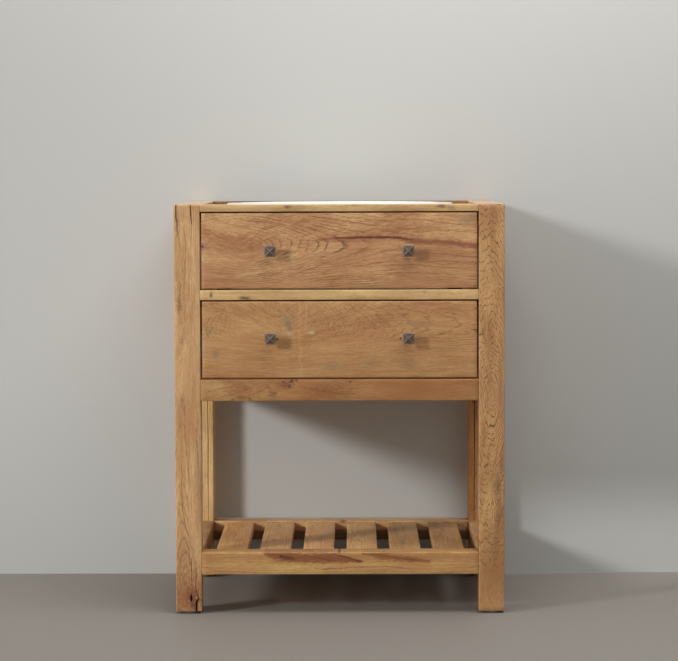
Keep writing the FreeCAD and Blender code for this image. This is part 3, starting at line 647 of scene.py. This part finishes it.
def front_rails():
    """The top and middle rails, pale and plain, and the redder bottom rail with knots left of its middle."""
    make_board(
        "front_top_rail", X, -Y, seed=31, light=(210, 173, 121), dark=(178, 137, 90), spacing=2.8, rings=0.35,
        hue=0.25, ripple=0.6, sway=1.0, slope=0.01,
        marks=(
            ((-108, -2), (11, 4), (96, 62, 38), 0.85), ((210, -3), (12, 5), (120, 66, 44), 0.75),
            ((232, 0), (12, 4), (130, 80, 54), 0.5)))
    make_board(
        "front_middle_rail", X, -Y, seed=37, light=(222, 186, 128), dark=(190, 149, 98), spacing=3.2,
        rings=0.3, hue=0.25, ripple=0.6, sway=1.0, slope=-0.008,
        marks=(
            ((-266, -1), (4, 8), (100, 70, 42), 0.85), ((-196, 6), (14, 5), (100, 74, 46), 0.85),
            ((176, -5), (6, 3), (118, 80, 50), 0.5), ((60, 6), (60, 4), (168, 124, 78), 0.5)))
    make_board(
        "front_bottom_rail", X, -Y, seed=41, light=(182, 135, 84), dark=(150, 97, 55), warm=(164, 102, 62),
        depth=24, slope=-0.2, spacing=3.4, sway=4.0, rings=0.45, dash=0.35, hue=0.5, ripple=1.8, blotch=0.8,
        calm=(((180, 0), (170, 60), 0.25),),
        knots=(
            ((-100, -19), (6, 5), 3.0, 1.0), ((-90, -20), (5, 3), 2.0, 0.9), ((22, -17), (4, 3), 1.0, 0.8),
            ((-112, -10), (26, 13), -7.0, 0)),
        marks=(
            ((170, 0), (160, 60), (158, 102, 60), 0.6), ((-25, 4), (62, 20), (132, 80, 46), 0.7),
            ((-139, 6), (10, 7), (104, 58, 40), 0.65), ((-114, -10), (22, 13), (108, 60, 36), 0.65),
            ((-118, -17), (5, 3), (70, 38, 26), 0.8), ((-105, -8), (6, 4), (80, 44, 28), 0.75),
            ((-187, 17), (4, 2.4), (64, 38, 24), 0.85), ((-222, 20), (5, 2.4), (78, 48, 30), 0.8),
            ((-205, 15), (12, 4), (96, 64, 42), 0.6), ((-255, -8), (40, 16), (202, 162, 110), 0.6)),
        strokes=(
            (((-290, 8, 1.0), (-240, -4, 2.4), (-190, -17, 1.0)), (122, 80, 48), 0.32),
            (((-255, 18, 1.0), (-205, 2, 2.8), (-158, -18, 1.0)), (118, 76, 46), 0.32),
            (((-190, 12, 1.0), (-158, 0, 2.8), (-138, -18, 1.0)), (116, 72, 44), 0.32),
            (((-80, -8, 1.0), (-40, 2, 2.2), (30, 8, 1.0)), (124, 74, 42), 0.5)))


def rear_and_side_boards():
    """The rear rails, the side rails, and the glued-up side panels between them."""
    # Painted shade: the rear top rail gets darker colours than the other oak, standing in for the shade it
    # lies in behind the basin.
    make_board("rear_top_rail", X, -Y, seed=43, light=(150, 112, 74), dark=(108, 78, 48), spacing=5.0)
    make_board("rear_bottom_rail", X, -Y, seed=47, spacing=5.0)
    for number, side in enumerate(("left", "right")):
        outward = X if side == "right" else -X
        make_board(
            f"side_top_rail_{side}", Y, Z, seed=51 + number, light=(222, 186, 132), dark=(196, 154, 104),
            coat=0.9)
        make_board(f"side_bottom_rail_{side}", Y, outward, seed=55 + number)
        make_board(f"shelf_side_rail_{side}", Y, outward, seed=59 + number)
        low, high = between(f"side_panel_{side}", Y)
        low.z = corners(f"side_bottom_rail_{side}")[1].z
        high.z = corners(f"side_top_rail_{side}")[0].z
        make_board(
            f"side_panel_{side}", Y, outward, limits=(low, high), seed=63 + number, planks=3, radius=1.0,
            spacing=5.0)


def shelf():
    """The shelf's rails and slats; its front rail is glued up from a dark strip over a paler one."""
    make_board(
        "shelf_front_rail", X, -Y, seed=71, light=(212, 167, 102), dark=(177, 128, 74), depth=20, spacing=3.4,
        strokes=(
            (((-320, -14, 10), (320, -14, 10)), (164, 114, 68), 0.6),
            (((-156, -20, 4.0), (-122, -12, 12.0), (-60, -11, 13.0), (0, -10, 11.0), (44, -4, 3.0)),
             (132, 76, 42), 0.9),
            (((46, -20, 3.0), (90, -15, 9.0), (140, -9, 7.0), (188, -4, 2.5)), (140, 84, 46), 0.85),
            (((-128, -15, 2.0), (-112, -11, 6.0), (-97, -9, 3.0)), (98, 50, 28), 0.75),
            (((-152, -20, 1.0), (-125, -19, 1.6), (-90, -19, 1.0)), (112, 60, 34), 0.6),
            (((-80, -18, 1.0), (-45, -11, 1.8), (-8, -4, 1.0)), (112, 60, 34), 0.6),
            (((-14, -19, 1.0), (15, -12, 2.6), (40, -4, 1.4)), (90, 48, 28), 0.8),
            (((62, -20, 1.0), (110, -12, 1.8), (165, -5, 1.0)), (110, 62, 34), 0.55),
            line((-40, 14), (-20, 11), (-8, 12), (116, 76, 46), 0.5, 1.6),
            (((-320, -3, 0.5), (320, -3, 0.5)), (104, 66, 40), 0.5),
        ),
        knots=(((-122, -15), (6, 4), 4.0, 0.9), ((-2, -22), (5, 3), 2.0, 0.9)))
    make_board(
        "shelf_rear_rail", X, -Y, seed=73, light=(226, 184, 132), dark=(190, 144, 96),
        marks=(((4, -22), (9, 6), (78, 46, 28), 0.9),))
    # Painted light: the slats' colours are paler than the other oak boards, standing in for the light on the
    # shelf's top; each slat also has its own tone, and the fifth and sixth are darker.
    slat_tones_and_painted_light = (
        ((250, 194, 126), (212, 148, 88)), ((244, 188, 122), (204, 144, 86)),
        ((255, 200, 134), (222, 154, 94)), ((248, 198, 126), (214, 156, 92)),
        ((228, 176, 112), (190, 138, 82)), ((204, 154, 98), (168, 118, 70)))
    slat_marks = {
        1: (((-60, 10), (30, 14), (150, 100, 66), 0.4),),
        3: (((-60, 0), (50, 14), (160, 108, 76), 0.4),),
        5: (((90, -14), (30, 6), (128, 90, 60), 0.5),),
    }
    for number, (light, dark) in enumerate(slat_tones_and_painted_light, start=1):
        node = f"shelf_slat_{number}"
        make_board(
            node, Y, Z, limits=corners(node), seed=80 + number * 3, light=light, dark=dark,
            warm=(212, 156, 98), slope=0.02 * (-1) ** number, depth=20, spacing=5.0, ripple=0.5, rings=0.3,
            hue=0.3, lean=0.3, marks=slat_marks.get(number, ()))


def fronts():
    """The fixed upper front, with an eye at its left and a red streak, and the calmer drawer front."""
    make_board(
        "upper_front", X, -Y, limits=corners("upper_front"), seed=101,
        light=(211, 164, 114), dark=(163, 112, 71), warm=(176, 117, 79), ring=(124, 79, 50), eye=(-200, -5),
        rise=(75, 130), depth=2, spacing=4.4, sway=2.0, ripple=1.2, rings=0.8, dash=0.6, hue=0.45, blotch=0.6,
        lean=0.1, fibre=1.0,
        calm=(((-240, -5), (66, 60), 0.0), ((190, 0), (130, 100), 0.35)),
        knots=(((-246, -8), (22, 14), 8.0, 0), ((-284, -9), (5, 4), 2.0, 0.8)),
        marks=(
            ((-183, -8), (10, 9), (136, 86, 62), 0.5), ((268, -66), (30, 17), (116, 106, 82), 0.4),
            ((200, 15), (120, 70), (152, 104, 68), 0.3),
            ((-251, -50), (30, 18), (206, 166, 112), 0.4), ((-276, 67), (22, 16), (162, 100, 68), 0.5),
            ((-232, -8), (56, 24), (156, 100, 64), 0.45), ((-200, -50), (60, 12), (170, 122, 80), 0.4),
            ((-284, -9), (12, 12), (118, 66, 58), 0.5),
        ),
        strokes=(
            (((-40, -24, 5.0), (60, -26, 8.0), (130, -25, 8.0), (180, -18, 8.0), (286, -10, 8.0)),
             (150, 94, 60), 0.45),
            (((-46, -22, 1.0), (-11, -26, 3.6), (57, -27, 4.2), (120, -27, 4.0), (149, -20, 6.0),
              (217, -16, 5.0), (286, -9, 6.0)), (132, 74, 48), 0.7),
            (((-11, -26, 1.5), (57, -27, 2.6), (118, -27, 2.2), (150, -22, 1.0)), (84, 40, 30), 0.75),
            (((-80, -22, 1.0), (0, -19, 1.4), (60, -19, 1.0)), (138, 74, 52), 0.5),
            line((-13, 11), (-75, 31), (-160, 53), (116, 70, 44), 0.35, 1.6),
            line((37, 5), (-30, 28), (-123, 56), (120, 74, 46), 0.35, 1.6),
            line((-276, -71), (-213, -51), (-123, -32), (140, 92, 60), 0.4),
            line((36, 33), (147, 29), (282, 40), (118, 76, 48), 0.5),
            line((64, 46), (170, 47), (282, 53), (120, 78, 50), 0.45),
            line((8, 50), (70, 60), (133, 64), (120, 78, 50), 0.4, 1.2),
            line((36, -61), (175, -64), (282, -48), (122, 80, 52), 0.45),
            line((90, 10), (190, 6), (280, 14), (116, 70, 44), 0.45),
            line((-200, -63), (-149, -60), (-110, -52), (132, 68, 52), 0.6, 1.1),
            (((-217, 52, 2.0), (-175, 46, 3.5), (-140, 36, 1.5)), (214, 172, 124), 0.4),
            (((140, 24, 1.0), (210, 22, 1.5), (286, 26, 1.0)), (128, 84, 54), 0.4),
        ))
    make_board(
        "drawer_front", X, -Y, DRAWER, limits=corners("drawer_front"), seed=107,
        light=(202, 156, 103), dark=(165, 114, 69), warm=(172, 116, 76), eye=(-125, -16), rise=(110, 150),
        depth=6, skew=(1.0, 1.6), spacing=3.0, sway=3.4, ripple=2.0, rings=0.6, dash=0.25, hue=0.35,
        lean=0.12,
        calm=(((-150, -10), (80, 50), 0.1), ((-200, 30), (80, 50), 0.5)),
        marks=(
            ((-108, -37), (12, 16), (118, 108, 84), 0.55), ((-103, -22), (5, 14), (116, 106, 84), 0.5),
            ((-271, -16), (10, 10), (124, 104, 84), 0.5), ((-257, 29), (10, 13), (124, 106, 84), 0.5),
            ((-17, 56), (26, 8), (126, 110, 84), 0.45), ((68, 48), (26, 7), (126, 108, 82), 0.45),
            ((143, 51), (22, 7), (124, 106, 82), 0.45), ((-57, -14), (8, 4), (212, 188, 146), 0.65),
            ((-108, -13), (13, 6), (206, 182, 140), 0.55), ((-130, -1), (3, 2.8), (44, 24, 16), 0.95),
            ((127, -2), (2.6, 3), (44, 24, 16), 0.95), ((163, -33), (30, 9), (146, 92, 68), 0.5),
            ((-200, -56), (34, 13), (158, 104, 70), 0.45),
        ),
        strokes=(
            (((-83, -80, 3.0), (-80, 80, 3.0)), (206, 166, 120), 0.22),
            (((-66, -80, 3.0), (-71, -20, 3.0)), (206, 166, 120), 0.2),
            line((-113, -67), (-92, -38), (-112, -8), (124, 84, 54), 0.22),
            line((-75, -68), (-52, -38), (-74, -12), (124, 84, 54), 0.22),
            line((-47, -68), (-22, -40), (-34, -18), (124, 84, 54), 0.25),
            line((-20, -66), (10, -42), (2, -22), (124, 84, 54), 0.22),
            line((15, -62), (44, -40), (40, -26), (124, 84, 54), 0.22),
            line((40, -28), (120, -40), (210, -34), (126, 84, 54), 0.35, 1.3),
            line((90, 6), (180, -4), (280, 2), (122, 82, 52), 0.35, 1.3),
            line((120, 30), (200, 18), (280, 22), (122, 82, 52), 0.35, 1.3),
            line((-270, 58), (-200, 40), (-120, 38), (128, 86, 56), 0.3, 1.3),
            (((270, -21, 0.6), (286, -18, 1.4)), (52, 30, 20), 0.9),
        ))


# ---- Other materials ----
def plain_timber(name, light, dark, scale):
    """Planed timber for the drawer box and hidden battens, with lines that lie level, scale to the metre."""
    graph = Graph(name)
    fine = graph.cloud((40, 40, scale), 3.0, 0.6)
    broad = graph.cloud((6, 6, 90), 2.0)
    mixed = graph.scale_add(fine, 0.6, graph.mul(broad, 0.4))
    color = graph.blend(mixed, paint(*light), paint(*dark))
    graph.bump(graph.mul(fine, 0.05))
    return graph.finish(color, graph.scale_add(fine, 0.2, 0.45))


def glaze():
    """White glazed fireclay: faint unevenness under a hard gloss."""
    graph = Graph("white_glaze")
    cloud = graph.cloud((14, 14, 14), 3.0)
    speck = graph.ramp(graph.cloud((900, 900, 900), 1.0), 0.72, 0.8)
    color = graph.blend(cloud, paint(238, 236, 228), paint(226, 224, 215))
    color = graph.blend(graph.mul(speck, 0.25), color, paint(196, 190, 178))
    graph.bump(graph.mul(cloud, 0.25))
    roughness = graph.scale_add(cloud, 0.08, 0.06)
    return graph.finish(color, roughness, Coat_Weight=0.4, Coat_Roughness=0.05)


def forged_metal():
    """Dark bronze knobs, rubbed pale along their ridges and edges, with a painted highlight on the left and
    top of each rim.
    """
    graph = Graph("dark_bronze")
    mottle = graph.cloud((420, 420, 420), 4.0, 0.6)
    broad = graph.cloud((120, 120, 120), 2.0)
    color = graph.blend(mottle, paint(112, 88, 74), paint(76, 58, 48))
    # Wear on the ridges and rims, and the painted highlight on the rims' left and top, lighten the metal
    # here.
    color = graph.blend(graph.attribute("rub_and_highlight"), color, paint(186, 168, 150))
    graph.bump(graph.mul(mottle, 0.12))
    roughness = graph.scale_add(broad, 0.3, 0.38)
    return graph.finish(color, roughness, Metallic=0.3)


def zinc(name, tint):
    """Zinc-plated steel, brushed along the slides."""
    graph = Graph(name)
    brush = graph.cloud((2500, 18, 2500), 2.0)
    cloud = graph.cloud((60, 25, 60), 3.0)
    mixed = graph.scale_add(brush, 0.5, graph.mul(cloud, 0.5))
    color = graph.blend(mixed, paint(*tint), paint(*[v * 0.75 for v in tint]))
    graph.bump(graph.mul(brush, 0.01))
    return graph.finish(color, graph.scale_add(brush, 0.2, 0.28), Metallic=1.0)


def nylon():
    """White nylon, a little scuffed."""
    graph = Graph("nylon")
    scuff = graph.cloud((300, 300, 300), 4.0)
    color = graph.blend(scuff, paint(232, 231, 226), paint(204, 202, 194))
    graph.bump(graph.mul(scuff, 0.05))
    return graph.finish(color, graph.scale_add(scuff, 0.2, 0.45))


def dress_cad_nodes():
    """Materials for the CAD nodes that stay in view."""
    finishes = {
        "glazed_ceramic": glaze(),
        "birch_drawer_box": plain_timber("birch", (226, 202, 160), (206, 174, 128), 900),
        # Painted shade: the hidden battens, such as the cleat seen between the slats, are coloured dark to
        # stand in for the shade they lie in.
        "hidden_timber": plain_timber("pine_darkened_for_painted_shade", (118, 82, 50), (90, 60, 36), 500),
        "slide_steel": zinc("slide_zinc", (196, 199, 204)),
        "zinc_screws": zinc("screw_zinc", (120, 100, 66)),
        "white_nylon": nylon(),
    }
    for node, piece in frame["nodes"].items():
        material = finishes.get(SLOTS[node])
        if material:
            for holder in piece.material_slots:
                holder.material = material


# ---- Knobs ----
def knob_mesh(name, low, high, seed):
    """A cast knob on a turned stem: a low pyramid with raised ridges to its corners and a worn rim, painted
    brighter on its left and top as a highlight.
    """
    centre_x, centre_z, face_y = (low.x + high.x) / 2, (low.z + high.z) / 2, high.y
    half = (high.x - low.x) / 2 / MM
    reach = (high.y - low.y) / MM
    shoulder, rise, ridge_height = 3.9, 2.8, 0.45
    cells = 28
    steps = [2 * i / cells - 1 for i in range(cells + 1)]

    def dent(u, v, out):
        return noise.noise(Vector((u * 3.1, v * 3.1, out * 0.4 + seed * 5.3)))

    def crown(u, v):
        """How far a point of the head's front stands out, and how bright it is painted: rubbed ridges and
        rim, plus a painted highlight on the rim's left and top.
        """
        edge = max(abs(u), abs(v))
        ridge = math.exp(-((abs(u) - abs(v)) / 0.09) ** 2) * min(1.0, (1.02 - edge) * 6)
        rim = math.exp(-((edge - 0.93) / 0.06) ** 2)
        drop = max(0.0, (edge - 0.93) / 0.07) ** 2
        out = reach - shoulder + rise * (1 - edge) + ridge_height * ridge + 0.25 * rim - 0.9 * drop
        out += 0.3 * dent(u, v, 0) - 0.15
        # Painted highlight: the rim is brighter where it faces left and up, towards the light; the ridges'
        # brightness is wear.
        wear_and_highlight = (0.35 + 0.3 * dent(u * 0.5, v * 0.5, 7)) * ridge + (0.3 + 0.35 * max(0.0, v, -u)) * rim
        return min(out, reach - 0.05), min(1.0, max(0.0, wear_and_highlight))

    points, wear_and_highlights, faces = [], [], []
    for v in steps:
        for u in steps:
            out, rub_and_highlight = crown(u, v)
            inset = 0.985 + 0.01 * dent(u, v, 4)
            points.append((u * half * inset, out, v * half * inset))
            wear_and_highlights.append(rub_and_highlight)
    side = cells + 1
    for row in range(cells):
        for column in range(cells):
            start = row * side + column
            faces.append((start, start + 1, start + side + 1, start + side))
    border = [(i, 0) for i in range(cells)] + [(cells, i) for i in range(cells)]
    border += [(cells - i, cells) for i in range(cells)] + [(0, cells - i) for i in range(cells)]
    # Square loops down the head's sides, then round ones along the stem to its foot:
    # (share of the head's width, or 0 for a round loop; radius; how far out; how much it is rubbed)
    loops = (
        (1.0, 0, reach - 5.7, 0.7), (1.0, 0, reach - 7.2, 0.5), (0.97, 0, reach - 8.6, 0.2),
        (0, 7.4, reach - 12.2, 0.0), (0, 5.6, reach - 13.2, 0.1), (0, 5.3, 8.0, 0.0), (0, 5.6, 3.0, 0.0),
        (0, 7.6, 2.2, 0.2), (0, 8.4, 0.9, 0.3), (0, 8.4, 0.0, 0.0))
    previous = [row * side + column for column, row in border]
    for square, radius, out, rub_and_highlight in loops:
        ring = range(len(points), len(points) + len(border))
        for column, row in border:
            u, v = steps[column], steps[row]
            if radius:
                scale = radius / math.hypot(u, v)
            else:
                scale = half * square * (0.992 + 0.008 * dent(u, v, out))
            points.append((u * scale, out, v * scale))
            wear_and_highlights.append(rub_and_highlight)
        for i in range(len(border)):
            j = (i + 1) % len(border)
            faces.append((previous[i], previous[j], ring[j], ring[i]))
        previous = ring
    faces.append(tuple(previous))
    places = [(centre_x + x * MM, face_y - out * MM, centre_z + z * MM) for x, out, z in points]
    return closed_mesh(name, places, faces, "rub_and_highlight", wear_and_highlights, sharp_angle=42)


def knobs():
    """The four square knobs."""
    metal = forged_metal()
    for row, body in (("upper", CABINET), ("lower", DRAWER)):
        for number, side in enumerate(("left", "right")):
            node = f"knob_{row}_{side}"
            mesh = knob_mesh(f"{node}_cast", *corners(node), number + (2 if row == "lower" else 0))
            add_piece(f"{node}_cast", mesh, metal, body, node)


# ---- Surroundings ----
ROOM_SIDE = 8
ROOM_DEPTH = 9
ROOM_HEIGHT = 6
WALL_GAP = 0.005
CLOSE_BEHIND = 0.03  # light that left a surface this near the wall passes through it


def sheet(name, places, material):
    """One flat face of the surroundings."""
    mesh = bpy.data.meshes.new(name)
    mesh.from_pydata(places, [], [(0, 1, 2, 3)])
    mesh.materials.append(material)
    flat = bpy.data.objects.new(name, mesh)
    bpy.context.scene.collection.objects.link(flat)


def stage():
    """A plain pale floor, and a wall that shows only from the room's side and doesn't darken the back."""
    floor_paint = Graph("pale_floor")
    side, depth, top = ROOM_SIDE, ROOM_DEPTH, ROOM_HEIGHT
    sheet("floor", ((-side, -depth, 0), (side, -depth, 0), (side, depth, 0), (-side, depth, 0)),
          floor_paint.finish(paint(138, 131, 124), 0.6))
    wall_paint = Graph("pale_wall")
    wall_paint.finish(paint(189, 187, 183), 0.9)
    one_sided = wall_paint.node("ShaderNodeMixShader")
    behind = wall_paint.node("ShaderNodeNewGeometry").outputs["Backfacing"]
    path = wall_paint.node("ShaderNodeLightPath").outputs
    bounced = wall_paint.math("SUBTRACT", 1.0, path["Is Camera Ray"])
    close = wall_paint.mul(bounced, wall_paint.math("LESS_THAN", path["Ray Length"], CLOSE_BEHIND))
    wall_paint.feed(one_sided.inputs[0], wall_paint.math("MAXIMUM", behind, close))
    wall_paint.feed(one_sided.inputs[1], wall_paint.shader.outputs[0])
    wall_paint.feed(one_sided.inputs[2], wall_paint.node("ShaderNodeBsdfTransparent").outputs[0])
    wall_paint.feed(wall_paint.tree.nodes["Material Output"].inputs["Surface"], one_sided.outputs[0])
    wall_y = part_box("leg_rear_left")[1].y + WALL_GAP
    sheet("wall", ((-side, wall_y, 0), (side, wall_y, 0), (side, wall_y, top), (-side, wall_y, top)),
          wall_paint.material)


def hang(lamp, place, target):
    """Put a light in its place, facing a target."""
    holder = bpy.data.objects.new(lamp.name, lamp)
    holder.location = place
    holder.rotation_euler = (Vector(target) - holder.location).to_track_quat("-Z", "Y").to_euler()
    bpy.context.scene.collection.objects.link(holder)


def area_light(name, place, target, size, power):
    """A round panel of light."""
    lamp = bpy.data.lights.new(name, "AREA")
    lamp.shape = "DISK"
    lamp.size = size
    lamp.energy = power
    hang(lamp, place, target)


def low_spot():
    """A soft-edged beam along the key's direction, through the open side onto the wall behind the shelf."""
    lamp = bpy.data.lights.new("low_spot", "SPOT")
    lamp.energy = 780
    lamp.shadow_soft_size = 0.5
    lamp.spot_size = math.radians(8.0)
    lamp.spot_blend = 1.0
    lamp.color = (0.88, 1.0, 1.08)
    hang(lamp, (-4.78, -3.35, 2.18), (-0.24, 0.3, 0.26))


def lights():
    """A large soft key from the front left, a panel overhead, the low beam and an even room light."""
    area_light("key", (-6.86, -5.5, 3.2), (0, 0, 0.45), size=1.4, power=392)
    area_light("overhead", (0.5, -0.6, 2.6), (0.5, 0.3, 0.8), size=2.0, power=41)
    low_spot()
    world = bpy.data.worlds.new("soft_room")
    world.use_nodes = True
    background = world.node_tree.nodes["Background"]
    background.inputs["Color"].default_value = (0.93, 1.0, 1.0, 1.0)
    background.inputs["Strength"].default_value = 0.425
    bpy.context.scene.world = world
    bpy.context.scene.view_settings.view_transform = "Standard"


def camera():
    """A long lens far in front, a little right of the middle and just above the rim, tilted slightly down."""
    lens = bpy.data.cameras.new("camera")
    lens.lens = 140.1
    lens.sensor_width = 36.0
    lens.clip_end = 60.0
    holder = bpy.data.objects.new("camera", lens)
    front_y = LEG_LEFT[0].y
    tilt, turn, roll = 0.0626, 0.005, -0.0033
    pose = Matrix.Rotation(turn, 4, "Z") @ Matrix.Rotation(math.pi / 2 - tilt, 4, "X")
    pose = pose @ Matrix.Rotation(roll, 4, "Z")
    pose.translation = (0.0264, front_y - 5.464, 0.935)
    holder.matrix_world = pose
    bpy.context.scene.collection.objects.link(holder)
    bpy.context.scene.camera = holder


camera()
stage()
lights()
front_legs()
rear_legs()
front_rails()
rear_and_side_boards()
shelf()
fronts()
knobs()
dress_cad_nodes()
